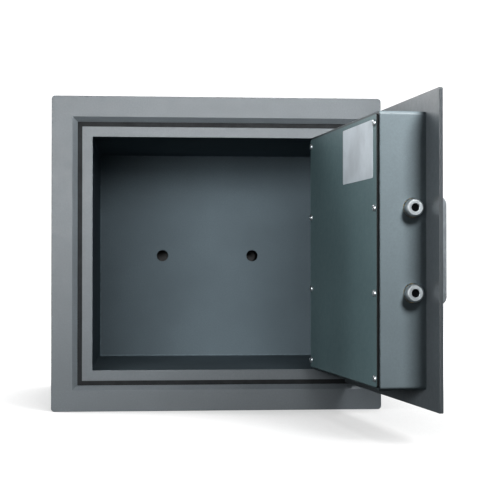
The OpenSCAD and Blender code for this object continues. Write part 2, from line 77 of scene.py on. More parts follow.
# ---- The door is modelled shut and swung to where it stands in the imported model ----

swing = named(record["behaviour"]["joints"], "door_swing")
pivot = Vector(swing["pos_m"])
TO_OPEN = (Matrix.Translation(pivot) @ Matrix.Rotation(-math.radians(swing["range_deg"][0]), 4, "Z")
           @ Matrix.Translation(-pivot))
TO_SHUT = TO_OPEN.inverted()


def shut_box(node):
    """Lowest and highest corner of a door node with the door shut."""
    points = [TO_SHUT @ v.co for v in nodes[node].data.vertices]
    return [Vector([pick(p[i] for p in points) for i in range(3)]) for pick in (min, max)]


def opening_x(node):
    """Half width of the opening through a ring-shaped node."""
    low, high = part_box(node)
    middle = (low + high) / 2
    return min(abs((v.co - middle).x) for v in nodes[node].data.vertices)


# ---- Mesh tools ----

def round_path(corners, closed=False, steps=FILLET_STEPS):
    """Polyline with rounded corners. A corner is (u, v, radius); a point comes back as (u, v, mark), with
    mark 1 inside a rounded edge.
    """
    out = []
    for i, (u, v, radius) in enumerate(corners):
        here = Vector((u, v))
        if radius == 0 or (not closed and i in (0, len(corners) - 1)):
            out.append((u, v, 0.0))
            continue
        back = (Vector(corners[i - 1][:2]) - here).normalized()
        ahead = (Vector(corners[(i + 1) % len(corners)][:2]) - here).normalized()
        half = back.angle(ahead) / 2
        centre = here + (back + ahead).normalized() * radius / math.sin(half)
        start = here + back * radius / math.tan(half) - centre
        end = here + ahead * radius / math.tan(half) - centre
        turn = start.angle_signed(end)
        for k in range(steps + 1):
            at = centre + Matrix.Rotation(-turn * k / steps, 2) @ start
            out.append((at.x, at.y, 0.0 if k in (0, steps) else 1.0))
    return out


def rect_loop(low, high, inset, radius, y):
    """Rounded rectangle in X and Z at depth y, inset from the box's sides."""
    x0, x1, z0, z1 = low.x + inset, high.x - inset, low.z + inset, high.z - inset
    corners = ((x1 - radius, z1 - radius), (x0 + radius, z1 - radius),
               (x0 + radius, z0 + radius), (x1 - radius, z0 + radius))
    return [Vector((cx + radius * math.cos(a), y, cz + radius * math.sin(a)))
            for quarter, (cx, cz) in enumerate(corners)
            for a in [math.radians(90 * (quarter + k / CORNER_STEPS)) for k in range(CORNER_STEPS + 1)]]


def ring_loop(centre, axis, radius, steps=ROUND_STEPS):
    """Circle round an axis, which is "X", "Y" or "Z"."""
    across = {"X": Vector((0, 1, 0)), "Y": Vector((0, 0, 1)), "Z": Vector((1, 0, 0))}[axis]
    return [centre + Matrix.Rotation(math.tau * k / steps, 4, axis) @ (across * radius) for k in range(steps)]


def loft(bm, loops, wear_and_shade_marks, closed=False):
    """Skins the loops one to the next, and closes the ends with caps or onto each other."""
    layer = bm.verts.layers.float.get("wear") or bm.verts.layers.float.new("wear")
    rows = []
    for loop, wear in zip(loops, wear_and_shade_marks):
        rows.append([bm.verts.new(p) for p in loop])
        for vert in rows[-1]:
            vert[layer] = wear
    made = []
    for a, b in zip(rows, rows[1:] + ([rows[0]] if closed else [])):
        for k in range(len(a)):
            m = (k + 1) % len(a)
            made.append(bm.faces.new((a[k], a[m], b[m], b[k])))
    if not closed:
        made += [bm.faces.new(rows[0]), bm.faces.new(rows[-1])]
    bmesh.ops.recalc_face_normals(bm, faces=made)


def add_rect(bm, low, high, radius, path, inner_radius, closed=False):
    """Sweeps a path of (inset, depth, mark) round a rounded rectangle, with depth counted back from low.y."""
    loops = [rect_loop(low, high, u, max(radius - u, inner_radius), low.y + v) for u, v, _ in path]
    loft(bm, loops, [w for _, _, w in path], closed)


def add_turned(bm, centre, axis, path, closed=False):
    """Turns a path of (distance along the axis, radius, mark) round an axis through centre."""
    along = {"X": Vector((1, 0, 0)), "Y": Vector((0, 1, 0)), "Z": Vector((0, 0, 1))}[axis]
    loops = [ring_loop(centre + along * u, axis, max(v, AXIS_R)) for u, v, _ in path]
    loft(bm, loops, [w for _, _, w in path], closed)


def add_box(bm, low, high, radius):
    """Box with rounded edges between two opposite corners."""
    path = round_path([(radius * 2, 0, 0), (0, 0, radius), (0, high.y - low.y, radius),
                       (radius * 2, high.y - low.y, 0)])
    add_rect(bm, low, high, radius * 1.5, path, radius * 0.2)


def to_object(bm, name):
    """Mesh object from a bmesh, which is freed."""
    mesh = bpy.data.meshes.new(name)
    bm.to_mesh(mesh)
    bm.free()
    made = bpy.data.objects.new(name, mesh)
    bpy.context.scene.collection.objects.link(made)
    return made


def cut(target, *cutters):
    """Takes each cutter's shape out of the target's mesh. Flat faces around the cuts are left unmarked."""
    for cutter_bm in cutters:
        cutter = to_object(cutter_bm, "cutter")
        modifier = target.modifiers.new("cut", "BOOLEAN")
        modifier.operation, modifier.solver, modifier.object = "DIFFERENCE", "EXACT", cutter
        result = bpy.data.meshes.new_from_object(target.evaluated_get(bpy.context.evaluated_depsgraph_get()))
        target.modifiers.clear()
        target.data = result
        bpy.data.objects.remove(cutter)
    wear = target.data.attributes["wear"].data
    for face in target.data.polygons:
        if len(face.vertices) > FLAT_CORNERS:
            for k in face.vertices:
                wear[k].value = 0.0


def turned_shape(centre, axis, path):
    """Turned solid in a bmesh of its own, for a cutter."""
    bm = bmesh.new()
    add_turned(bm, centre, axis, path)
    return bm


def box_shape(low, high, radius=0.05 * MM):
    """Box in a bmesh of its own, for a cutter."""
    bm = bmesh.new()
    add_box(bm, low, high, radius)
    return bm


def place(piece, node, on_door=False):
    """Finishes a piece's shading and lets it stand for a CAD node, on that node's body.

    A piece on the door was made with the door shut, so it is swung open first.
    """
    if on_door:
        piece.data.transform(TO_OPEN)
    for face in piece.data.polygons:
        face.use_smooth = True
    piece.data.set_sharp_from_angle(angle=math.radians(SHARP))
    piece.modifiers.new("flat faces", "WEIGHTED_NORMAL").keep_sharp = True
    piece.data.materials.clear()
    piece.data.materials.append(finishes[slot_of_node[node]])
    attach(piece, body_of_node[node])
    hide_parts(node)


# ---- Materials ----

def add(tree, kind, values=None, **settings):
    """Adds a node. Values go to its inputs by name or number, and a socket is linked."""
    made = tree.nodes.new(kind)
    for key, value in settings.items():
        setattr(made, key, value)
    for key, value in (values or {}).items():
        if isinstance(value, bpy.types.NodeSocket):
            tree.links.new(value, made.inputs[key])
        else:
            made.inputs[key].default_value = value
    return made


def noise(tree, where, scale, detail=3.0, roughness=0.5):
    """Noise from 0 to 1, with its scale in cells per metre."""
    return add(tree, "ShaderNodeTexNoise", {"Vector": where, "Scale": scale, "Detail": detail,
                                            "Roughness": roughness}).outputs["Fac"]


def spread(tree, value, low, high, to_low, to_high):
    """Maps a value from one range to another."""
    return add(tree, "ShaderNodeMapRange", {"Value": value, "From Min": low, "From Max": high,
                                            "To Min": to_low, "To Max": to_high}).outputs["Result"]


def times(tree, a, b):
    """Product of two values."""
    return add(tree, "ShaderNodeMath", {0: a, 1: b}, operation="MULTIPLY").outputs[0]


def mix(tree, factor, a, b):
    """Colour a where the factor is 0, and b where it is 1."""
    return add(tree, "ShaderNodeMix", {0: factor, 6: a, 7: b}, data_type="RGBA").outputs[2]


def tint(colour, gain):
    """A colour made lighter or darker, with its alpha."""
    return (*[min(c * gain, 1.0) for c in colour], 1.0)


def start(name):
    """Empty material with a Principled shader, and the piece's own coordinates."""
    material = bpy.data.materials.new(name)
    material.use_nodes = True
    tree = material.node_tree
    shader = tree.nodes["Principled BSDF"]
    where = add(tree, "ShaderNodeTexCoord").outputs["Object"]
    return material, tree, shader, where


def bump(tree, shader, height, strength, distance):
    """Relief on the shader's normal from a height value."""
    relief = add(tree, "ShaderNodeBump", {"Height": height, "Strength": strength, "Distance": distance})
    tree.links.new(relief.outputs["Normal"], shader.inputs["Normal"])


def wear_and_shade_of(tree):
    """The mesh's wear attribute."""
    return add(tree, "ShaderNodeAttribute", attribute_name="wear").outputs["Fac"]


MILL_SCALE_AND_SHADE = (0.010, 0.011, 0.012, 1)     # steel that was never painted, and painted shade in bores, holes and gaps


def to_mill_scale_and_shade(tree, wear, base):
    """The base colour, turning to dark mill scale, bare steel and painted shade, as the mark goes from 0 to
    BARE_AND_SHADED.
    """
    return mix(tree, spread(tree, wear, BARE_AND_SHADED, 0, 1, 0), base, MILL_SCALE_AND_SHADE)


def painted(name, colour, roughness, edge_gain=1.35, gloss=0.5):
    """Sprayed enamel: soft clouds of tone, fine orange peel, and rounded edges whose tone changes by
    edge_gain, lighter as wear and a painted highlight, darker as painted shade. Marked places turn to mill
    scale and painted shade.
    """
    material, tree, shader, where = start(name)
    clouds = noise(tree, where, 14, 4)
    grain = noise(tree, where, 520, 3, 0.6)
    peel = noise(tree, where, 900, 2)
    scuffs = noise(tree, where, 130, 6, 0.7)
    base = mix(tree, spread(tree, clouds, 0.3, 0.7, 0, 1), tint(colour, 0.93), tint(colour, 1.07))
    base = mix(tree, spread(tree, grain, 0.35, 0.65, 0, 0.5), base, tint(colour, 0.86))
    wear = wear_and_shade_of(tree)
    edge_wear_light_and_shade = times(tree, spread(tree, wear, 0, 1, 0, 1), spread(tree, scuffs, 0.38, 0.62, 0, 0.85))
    base = mix(tree, edge_wear_light_and_shade, base, tint(colour, edge_gain))
    tree.links.new(to_mill_scale_and_shade(tree, wear, base), shader.inputs["Base Color"])
    dull = spread(tree, scuffs, 0.3, 0.7, roughness - 0.06, roughness + 0.07)
    tree.links.new(dull, shader.inputs["Roughness"])
    shader.inputs["Specular IOR Level"].default_value = gloss
    bump(tree, shader, peel, 0.18, 0.25 * MM)
    return material


def metal(name, colour, roughness, grain=(1, 1, 1), relief=0.1):
    """Steel or brass with fine tool marks, which are long on the axis where grain is smallest, and dark mill
    scale where marked, which is painted shade in a bore.
    """
    material, tree, shader, where = start(name)
    shader.inputs["Metallic"].default_value = 1.0
    as_shut = (0, 0, math.radians(swing["range_deg"][0]))
    turned = add(tree, "ShaderNodeMapping", {"Vector": where, "Rotation": as_shut, "Scale": grain})
    marks = noise(tree, turned.outputs["Vector"], 600, 4, 0.6)
    stains = noise(tree, where, 60, 5, 0.6)
    base = mix(tree, spread(tree, stains, 0.3, 0.7, 0, 1), tint(colour, 0.84), tint(colour, 1.06))
    base = mix(tree, spread(tree, marks, 0.35, 0.65, 0, 0.4), base, tint(colour, 0.75))
    tree.links.new(to_mill_scale_and_shade(tree, wear_and_shade_of(tree), base), shader.inputs["Base Color"])
    dull = spread(tree, marks, 0.3, 0.7, roughness - 0.07, roughness + 0.1)
    tree.links.new(dull, shader.inputs["Roughness"])
    bump(tree, shader, marks, relief, 0.1 * MM)
    return material


def paper(name, colour):
    """Gummed paper: fine fibres and faint clouds of tone."""
    material, tree, shader, where = start(name)
    fibres = noise(tree, where, 1600, 5, 0.7)
    clouds = noise(tree, where, 28, 4, 0.5)
    base = mix(tree, spread(tree, clouds, 0.35, 0.65, 0, 1), tint(colour, 0.88), tint(colour, 1.10))
    base = mix(tree, spread(tree, fibres, 0.35, 0.65, 0, 0.35), base, tint(colour, 0.82))
    tree.links.new(base, shader.inputs["Base Color"])
    tree.links.new(spread(tree, fibres, 0.3, 0.7, 0.55, 0.75), shader.inputs["Roughness"])
    bump(tree, shader, fibres, 0.15, 0.1 * MM)
    return material


def cast(name, colour):
    """Cast barrier fill: a sandy matrix with darker stones."""
    material, tree, shader, where = start(name)
    sand = noise(tree, where, 500, 6, 0.7)
    stones = add(tree, "ShaderNodeTexVoronoi", {"Vector": where, "Scale": 160}).outputs["Distance"]
    base = mix(tree, spread(tree, sand, 0.3, 0.7, 0, 1), tint(colour, 0.8), tint(colour, 1.1))
    base = mix(tree, spread(tree, stones, 0.12, 0.28, 0.6, 0), base, tint(colour, 0.6))
    tree.links.new(base, shader.inputs["Base Color"])
    tree.links.new(spread(tree, sand, 0.3, 0.7, 0.8, 0.95), shader.inputs["Roughness"])
    bump(tree, shader, sand, 0.5, 0.6 * MM)
    return material


def rubber(name, colour):
    """Foam rubber: fine open pores and a dusting on top."""
    material, tree, shader, where = start(name)
    pores = noise(tree, where, 1400, 3, 0.6)
    dust = noise(tree, where, 70, 5, 0.6)
    base = mix(tree, spread(tree, dust, 0.4, 0.7, 0, 1), tint(colour, 0.8), tint(colour, 1.6))
    base = mix(tree, spread(tree, pores, 0.35, 0.6, 0.7, 0), base, tint(colour, 0.4))
    tree.links.new(base, shader.inputs["Base Color"])
    tree.links.new(spread(tree, pores, 0.3, 0.7, 0.75, 0.95), shader.inputs["Roughness"])
    bump(tree, shader, pores, 0.4, 0.15 * MM)
    return material


finishes = {
    # Lighter rounded edges on the face and the handle are wear and a painted highlight.
    "face_paint": painted("face_enamel", (0.138, 0.156, 0.169), 0.42),
    "lining_paint": painted("lining_enamel", (0.128, 0.161, 0.181), 0.75, gloss=0.06),
    # The casing's and the cover's rounded edges are darker: painted shade.
    "casing_paint": painted("casing_enamel", (0.154, 0.188, 0.204), 0.50, edge_gain=0.55, gloss=0.3),
    # The cover's enamel is a lighter, more teal copy of the casing's: painted light for the teal light on
    # this side.
    "cover_paint": painted("cover_enamel_teal_lit", (0.180, 0.268, 0.285), 0.45, edge_gain=0.5, gloss=0.3),
    # The handle's enamel is lighter than the door's: a painted highlight where side light falls on it.
    "handle_paint": painted("handle_enamel_lit", (0.265, 0.288, 0.308), 0.38),
    "plated_steel": metal("zinc_plate", (0.62, 0.66, 0.68), 0.42),
    "bare_steel": metal("mill_steel", (0.36, 0.37, 0.38), 0.42),
    "brass_metal": metal("brass", (0.62, 0.44, 0.17), 0.32),
    "badge_metal": metal("brushed_badge", (0.50, 0.51, 0.51), 0.55, grain=(0.3, 1, 1), relief=0.03),
    "label_paper": paper("sticker_paper", (0.74, 0.81, 0.87)),
    "fill_cast": cast("barrier_cast", (0.34, 0.32, 0.28)),
    "seal_rubber": rubber("seal_foam", (0.018, 0.020, 0.022)),
}
for name, node in nodes.items():
    node.data.materials.clear()
    node.data.materials.append(finishes[slot_of_node[name]])
# The anchor sleeves are near black: painted shade down the anchor holes.
nodes["anchor_sleeves"].data.materials[0] = metal("black_tube_shade", (0.015, 0.016, 0.017), 0.70)
# The key's rotor is near black brass: painted shade in the keyhole.
nodes["key_rotor"].data.materials[0] = metal("dark_brass_shade", (0.090, 0.070, 0.040), 0.65)

# ---- Body ----

CORNER_R = 4 * MM         # the body's four long corners
SEAM_R = 0.5 * MM         # rounding on each side of a welded seam
SHEET = 3 * MM
BEVEL = 6 * MM            # width and depth of the bevel inside the face ring
BEVEL_DEEP = 4 * MM
FACE_R, BEVEL_R, RECESS_R = 0.8 * MM, 0.5 * MM, 0.4 * MM     # rounding at the rim and the bevel's edges
LIP_R, LIP_BACK_R = 0.6 * MM, 0.3 * MM
STRIP_R = 0.15 * MM
BACK_RIM_R = 0.9 * MM

ring_low, ring_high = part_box("front_frame")
face_y = ring_low.y
middle = (ring_low + ring_high) / 2
recess_x = opening_x("front_frame")
ring_w, ring_t = ring_high.x - recess_x, ring_high.y - ring_low.y

bm = bmesh.new()
add_rect(bm, ring_low, ring_high, CORNER_R, round_path(
    [(0, ring_t, SEAM_R), (0, 0, FACE_R), (ring_w - BEVEL, 0, BEVEL_R), (ring_w, BEVEL_DEEP, RECESS_R),
     (ring_w, ring_t, 0)], closed=True), inner_radius=0.3 * MM, closed=True)
place(to_object(bm, "face_ring"), "front_frame")

low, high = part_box("rebate_plate")
mouth_x = opening_x("rebate_plate")
lip, lip_t = high.x - mouth_x, high.y - low.y
bm = bmesh.new()
add_rect(bm, low, high, 1 * MM, round_path(
    [(0, 0, 0), (lip, 0, LIP_R), (lip, lip_t, LIP_BACK_R), (0, lip_t, 0)], closed=True),
    inner_radius=0.6 * MM, closed=True)
place(to_object(bm, "rebate_lip"), "rebate_plate")

low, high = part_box("seal_strip")
strip_x = opening_x("seal_strip")
strip, strip_t = high.x - strip_x, high.y - low.y
bm = bmesh.new()
add_rect(bm, low, high, 0.4 * MM, round_path(
    [(0, strip_t, 0), (0, 0, STRIP_R), (strip, 0, STRIP_R), (strip, strip_t, 0)], closed=True),
    inner_radius=0.2 * MM, closed=True)
place(to_object(bm, "seal_band"), "seal_strip")

low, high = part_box("outer_shell")
deep = high.y - low.y
bm = bmesh.new()
add_rect(bm, low, high, CORNER_R, round_path(
    [(0, 0, SEAM_R), (0, deep, SEAM_R), (SHEET, deep, 0), (SHEET, 0, 0)], closed=True),
    inner_radius=1 * MM, closed=True)
place(to_object(bm, "folded_shell"), "outer_shell")

sleeve_low, sleeve_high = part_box("anchor_sleeves")
sleeve_r = (sleeve_high.z - sleeve_low.z) / 2
anchor_x = sleeve_high.x - sleeve_r
anchor_r = named(record["mounts"], "anchor_holes")["dims"]["hole_r_mm"] * MM
ANCHOR_FLARE, ANCHOR_FLARE_DEEP = 1.6 * MM, 0.6 * MM


def anchor_cutters(y0, y1):
    """Bores for the two wall anchors, with a small countersink at y0."""
    made = bmesh.new()
    for side in (-1, 1):
        at = Vector((side * anchor_x, y0, middle.z))
        add_turned(made, at, "Y", [(-PAST, anchor_r + ANCHOR_FLARE, 0), (ANCHOR_FLARE_DEEP, anchor_r, 0),
                                   (y1 - y0 + PAST, anchor_r, 0)])
    return made


low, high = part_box("back_plate")
deep = high.y - low.y
bm = bmesh.new()
add_rect(bm, low, high, CORNER_R, round_path(
    [(SHEET, 0, 0), (0, 0, SEAM_R), (0, deep, BACK_RIM_R), (SHEET, deep, 0)]), inner_radius=1 * MM)
bm.verts.ensure_lookup_table()
for vert in bm.verts[:4 * (CORNER_STEPS + 1)]:      # the first loop, on the plate's inner side: bare mill scale, which is also painted shade at the bottoms of the anchor holes
    vert[bm.verts.layers.float["wear"]] = BARE_AND_SHADED
place(to_object(bm, "welded_back"), "back_plate")

# ---- Lining, folded from sheet ----

FOLD_R = 2.5 * MM         # inside radius of a fold
WALL_IN = 20 * MM         # from the lining's sides to the flat cap in its back wall
NOTCH_GAP = 1 * MM
bolt_low, bolt_high = shut_box("shooting_bolts")
bolt_r = (bolt_high.y - bolt_low.y) / 2
bolt_y = (bolt_low.y + bolt_high.y) / 2
bolt_zs = (bolt_low.z + bolt_r, bolt_high.z - bolt_r)
notch_r = bolt_r + NOTCH_GAP

low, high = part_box("inner_box")
deep = high.y - low.y
bm = bmesh.new()
add_rect(bm, low, high, FOLD_R + SHEET, round_path(
    [(WALL_IN, deep, 0), (0, deep, FOLD_R + SHEET), (0, 0, 0.3 * MM), (SHEET, 0, 0.6 * MM),
     (SHEET, deep - SHEET, FOLD_R), (WALL_IN, deep - SHEET, 0)], steps=4), inner_radius=FOLD_R)
piece = to_object(bm, "cavity_lining")
cut(piece, anchor_cutters(high.y - SHEET, high.y))
for z in bolt_zs:         # a round-ended notch lets each bolt through
    cut(piece,
        turned_shape(Vector((low.x, bolt_y, z)), "X",
                     [(-2 * PAST, notch_r, 0), (SHEET + 2 * PAST, notch_r, 0)]),
        box_shape(Vector((low.x - 2 * PAST, low.y - 2 * PAST, z - notch_r)),
                  Vector((low.x + SHEET + 2 * PAST, bolt_y, z + notch_r))))
place(piece, "inner_box")

# ---- Hinges ----

pin_low, pin_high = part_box("hinge_pins")
pin_r = (pin_high.x - pin_low.x) / 2
pin_x, pin_y = (pin_low.x + pin_high.x) / 2, (pin_low.y + pin_high.y) / 2
lower_low, lower_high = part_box("frame_knuckles")
upper_low, upper_high = shut_box("door_knuckles")
barrel_r = pin_y - lower_low.y
KNUCKLE = 9 * MM          # length of one knuckle
LEAF_T = 3.5 * MM
LEAF_GAP = 3 * MM         # from the pin's axis to the lower leaf
KNUCKLE_R = 0.5 * MM
PIN_END_R = 0.6 * MM
pin_l = KNUCKLE + upper_high.z - lower_high.z
hinge_tops = (pin_high.z, pin_low.z + pin_l)


def knuckle(bm, z0, z1, x0, x1):
    """Barrel with its leaf, which lies on the face from x0 to x1."""
    height = z1 - z0
    add_turned(bm, Vector((pin_x, pin_y, z0)), "Z", round_path(
        [(0, pin_r, 0), (0, barrel_r, KNUCKLE_R), (height, barrel_r, KNUCKLE_R), (height, pin_r, 0)],
        closed=True), closed=True)
    add_box(bm, Vector((x0, face_y - LEAF_T, z0)), Vector((x1, face_y, z1)), KNUCKLE_R)


bm = bmesh.new()
for top in hinge_tops:
    knuckle(bm, top - pin_l, top - pin_l + KNUCKLE, pin_x + LEAF_GAP, lower_high.x)
place(to_object(bm, "lower_knuckles"), "frame_knuckles")
bm = bmesh.new()
for top in hinge_tops:
    knuckle(bm, top - KNUCKLE, top, upper_low.x, pin_x)
place(to_object(bm, "upper_knuckles"), "door_knuckles", on_door=True)
bm = bmesh.new()
for top in hinge_tops:
    add_turned(bm, Vector((pin_x, pin_y, top - pin_l)), "Z", round_path(
        [(0, 0, 0), (0, pin_r, PIN_END_R), (pin_l, pin_r, PIN_END_R), (pin_l, 0, 0)]))
place(to_object(bm, "pin_rods"), "hinge_pins")

# ---- Door ----

CAP_IN = 3 * MM           # from a sheet's edges to its flat cap
RIM_W = 0.3 * MM          # band at a sheet's edges that is darkened as painted shade
KEYHOLE_R, KEYHOLE_RIM_R, KEYHOLE_CUT_R = 5 * MM, 5.4 * MM, 5.9 * MM
KEYHOLE_RIM_DEEP = 0.5 * MM
KEY_SLOT_HALF_W, KEY_SLOT_L = 1.5 * MM, 6.2 * MM
low, high = shut_box("door_plate")
plate_t = high.y - low.y
bm = bmesh.new()
path = round_path([(CAP_IN, 0, 0), (0, 0, 0.7 * MM), (0, plate_t, 0.5 * MM), (CAP_IN, plate_t, 0)])
# The plate's edges are darkened half way to mill scale: painted shade.
add_rect(bm, low, high, 1.5 * MM, [(u, v, PAINTED_EDGE_SHADE if u < RIM_W else wear_and_shade_marks) for u, v, wear_and_shade_marks in path],
         inner_radius=0.6 * MM)
piece = to_object(bm, "door_front")
key_at = TO_SHUT @ Vector(named(record["behaviour"]["joints"], "key_turn")["pos_m"])
cut(piece,
    turned_shape(Vector((key_at.x, low.y, key_at.z)), "Y",
                 [(-PAST, KEYHOLE_CUT_R, 0), (0, KEYHOLE_RIM_R, 0), (KEYHOLE_RIM_DEEP, KEYHOLE_R, 0),
                  (plate_t + PAST, KEYHOLE_R, 0)]),
    box_shape(Vector((key_at.x - KEY_SLOT_HALF_W, low.y - PAST, key_at.z - KEY_SLOT_L)),
              Vector((key_at.x + KEY_SLOT_HALF_W, high.y + PAST, key_at.z))))
place(piece, "door_plate", on_door=True)

CASING_SHEET = 2 * MM
CASING_CORNER_R, CASING_FOLD_R = 4 * MM, 1.2 * MM
FLANGE = 16 * MM          # width of the flange that the cover is screwed to
HOLE_GAP, HOLE_FLARE, HOLE_FLARE_DEEP = 0.5 * MM, 1.4 * MM, 0.4 * MM
low, high = shut_box("casing")
deep = high.y - low.y
bm = bmesh.new()
add_rect(bm, low, high, CASING_CORNER_R, round_path(
    [(0, 0, 0), (0, deep, CASING_FOLD_R), (FLANGE, deep, 0.3 * MM), (FLANGE, deep - CASING_SHEET, 0),
     (CASING_SHEET, deep - CASING_SHEET, 0.4 * MM), (CASING_SHEET, 0, 0)], closed=True, steps=5),
    inner_radius=1.5 * MM, closed=True)
piece = to_object(bm, "door_casing")
hole_r = bolt_r + HOLE_GAP
holes = bmesh.new()
for z in bolt_zs:
    add_turned(holes, Vector((low.x, bolt_y, z)), "X",
               [(-PAST, hole_r + HOLE_FLARE, 0), (HOLE_FLARE_DEEP, hole_r, 0),
                (CASING_SHEET + PAST, hole_r, 0)])
cut(piece, holes)
place(piece, "casing", on_door=True)

COVER_CAP_IN = 5 * MM
low, high = shut_box("casing_cover")
cover_back, cover_t = high.y, high.y - low.y
bm = bmesh.new()
path = round_path([(COVER_CAP_IN, 0, 0), (0, 0, 0.3 * MM), (0, cover_t, 0.4 * MM),
                   (COVER_CAP_IN, cover_t, 0)])
# The cover's edge is darkened to mill scale: painted shade in the gap along the casing.
add_rect(bm, low, high, 2 * MM, [(u, v, BARE_AND_SHADED if u < RIM_W else 0) for u, v, _ in path],
         inner_radius=1 * MM)
place(to_object(bm, "door_cover"), "casing_cover", on_door=True)

# ---- Screws, label and badge ----

SCREW_ROWS = 4
SHANK_R, SHANK_L = 2 * MM, 5 * MM
HEAD_R, CROWN_IN, CROWN_R = 3.8 * MM, 0.9 * MM, 1.3 * MM
ARM_HALF_L, ARM_HALF_W, ARM_DEEP = 2.1 * MM, 0.45 * MM, 1.1 * MM     # one arm of the crossed recess
TWIST = 37                # degrees that each head is turned further than the one before
screw_low, screw_high = shut_box("cover_screws")
head_h = screw_high.y - cover_back
screw_xs = (screw_low.x + HEAD_R, screw_high.x - HEAD_R)
pitch = (screw_high.z - screw_low.z - 2 * HEAD_R) / (SCREW_ROWS - 1)
screw_zs = [screw_low.z + HEAD_R + k * pitch for k in range(SCREW_ROWS)]
bm = bmesh.new()
add_turned(bm, Vector((0, cover_back, 0)), "Y", round_path(
    [(-SHANK_L, 0, 0), (-SHANK_L, SHANK_R, 0), (0, SHANK_R, 0), (0, HEAD_R, 0.2 * MM),
     (head_h, HEAD_R - CROWN_IN, CROWN_R), (head_h, 0, 0)], steps=4))
head = to_object(bm, "screw")
for turn in (45, 135):
    arm = box_shape(Vector((-ARM_HALF_L, cover_back + head_h - ARM_DEEP, -ARM_HALF_W)),
                    Vector((ARM_HALF_L, cover_back + head_h + PAST, ARM_HALF_W)))
    bmesh.ops.rotate(arm, matrix=Matrix.Rotation(math.radians(turn), 3, "Y"), verts=arm.verts)
    cut(head, arm)
bm = bmesh.new()
for k, (x, z) in enumerate((x, z) for x in screw_xs for z in screw_zs):
    copy = head.data.copy()
    copy.transform(Matrix.Translation((x, 0, z)) @ Matrix.Rotation(math.radians(TWIST * k), 4, "Y"))
    bm.from_mesh(copy)
bpy.data.objects.remove(head)
place(to_object(bm, "cover_screw_heads"), "cover_screws", on_door=True)

low, high = shut_box("label")
label_t = high.y - low.y
bm = bmesh.new()
add_rect(bm, low, high, 2 * MM, round_path(
    [(CAP_IN, 0, 0), (0, 0, 0), (0, label_t, 0.12 * MM), (CAP_IN, label_t, 0)]), inner_radius=0.5 * MM)
place(to_object(bm, "blank_label"), "label", on_door=True)

BORDER, FIELD_IN, FIELD_DEEP = 1.2 * MM, 1.8 * MM, 0.5 * MM     # raised border around the badge's sunk field
FIELD_CAP_IN = 4 * MM
low, high = shut_box("badge")
badge_t = high.y - low.y
bm = bmesh.new()
add_rect(bm, low, high, 2 * MM, round_path(
    [(CAP_IN, badge_t, 0), (0, badge_t, 0), (0, 0, 0.35 * MM), (BORDER, 0, 0.2 * MM),
     (FIELD_IN, FIELD_DEEP, 0.2 * MM), (FIELD_CAP_IN, FIELD_DEEP, 0)]), inner_radius=0.8 * MM)
place(to_object(bm, "blank_badge"), "badge", on_door=True)

# ---- Handle ----

FOOT = 18 * MM            # length of each foot along the door
GRIP = 6 * MM             # thickness of the bar
OUTER_R, FINGER_R = 8 * MM, 5 * MM        # corners of the arch, outside and in the finger gap
OUTER_FILLET, INNER_FILLET = 3.2 * MM, 1.4 * MM
ARCH_STEPS = 8            # segments in an arch's corner
FILLET_ROWS = 6           # segments across the handle's rounded sides


def arch(half, height, radius):
    """Points over an arch from one foot to the other, as (along, out)."""
    quarter = [math.pi * k / (2 * ARCH_STEPS) for k in range(ARCH_STEPS + 1)]
    left = [(-half + radius - radius * math.cos(a), height - radius + radius * math.sin(a)) for a in quarter]
    return [(-half, 0.0), *left, *[(-x, y) for x, y in reversed(left)], (half, 0.0)]


low, high = shut_box("handle")
centre_x, centre_z = (low.x + high.x) / 2, (low.z + high.z) / 2
half_w, half_l, rise = (high.x - low.x) / 2, (high.z - low.z) / 2, high.y - low.y
stations = []             # (along, inset, mark) over a rounded edge, from the side face to the full outline
for k in range(FILLET_ROWS + 1):
    a = math.pi / 2 * k / FILLET_ROWS
    stations.append((1 - math.cos(a), 1 - math.sin(a), 0.0 if k == FILLET_ROWS else 1.0))
loops, wear_and_shade_marks = [], []
for side in (-1, 1):
    row = stations if side < 0 else stations[::-1]
    for along, inset, wear in row:
        x = centre_x + side * (half_w - OUTER_FILLET * along)
        out, under = OUTER_FILLET * inset, INNER_FILLET * inset
        top = arch(half_l - out, rise - out, OUTER_R - out)
        gap = arch(half_l - FOOT + under, rise - GRIP + under, FINGER_R + under)
        loops.append([Vector((x, high.y - y, centre_z + z)) for z, y in top + gap[::-1]])
        wear_and_shade_marks.append(wear)
bm = bmesh.new()
loft(bm, loops, wear_and_shade_marks)
bmesh.ops.triangulate(bm, faces=[f for f in bm.faces if len(f.verts) > 4])
place(to_object(bm, "pull_handle"), "handle", on_door=True)

# ---- Bolts ----

TIP_BEVEL = 1.5 * MM
BORE_R, BORE_L = 4 * MM, 3 * MM           # blind bore in the tip, darkened inside as painted shade
TAIL_R, TAIL_L = 5 * MM, 14 * MM          # threaded tail that the bolt bar is nutted to
length = bolt_high.x - bolt_low.x
shank = length - TAIL_L
bm = bmesh.new()
for z in bolt_zs:
    path = round_path(
        [(BORE_L, 0, 0), (BORE_L, BORE_R, 0), (0, BORE_R, 0.4 * MM),
         (0, bolt_r - TIP_BEVEL, 0.5 * MM), (TIP_BEVEL, bolt_r, 0.5 * MM), (shank, bolt_r, 0),
         (shank, TAIL_R, 0), (length, TAIL_R, 0.5 * MM), (length, 0, 0)])
    # The bore's inside is darkened to mill scale: painted shade.
    add_turned(bm, Vector((bolt_low.x, bolt_y, z)), "X",
               [(u, v, BARE_AND_SHADED if v <= BORE_R and u <= BORE_L else wear_and_shade_marks) for u, v, wear_and_shade_marks in path])
place(to_object(bm, "round_bolts"), "shooting_bolts", on_door=True)

# ---- Stage, light and camera ----

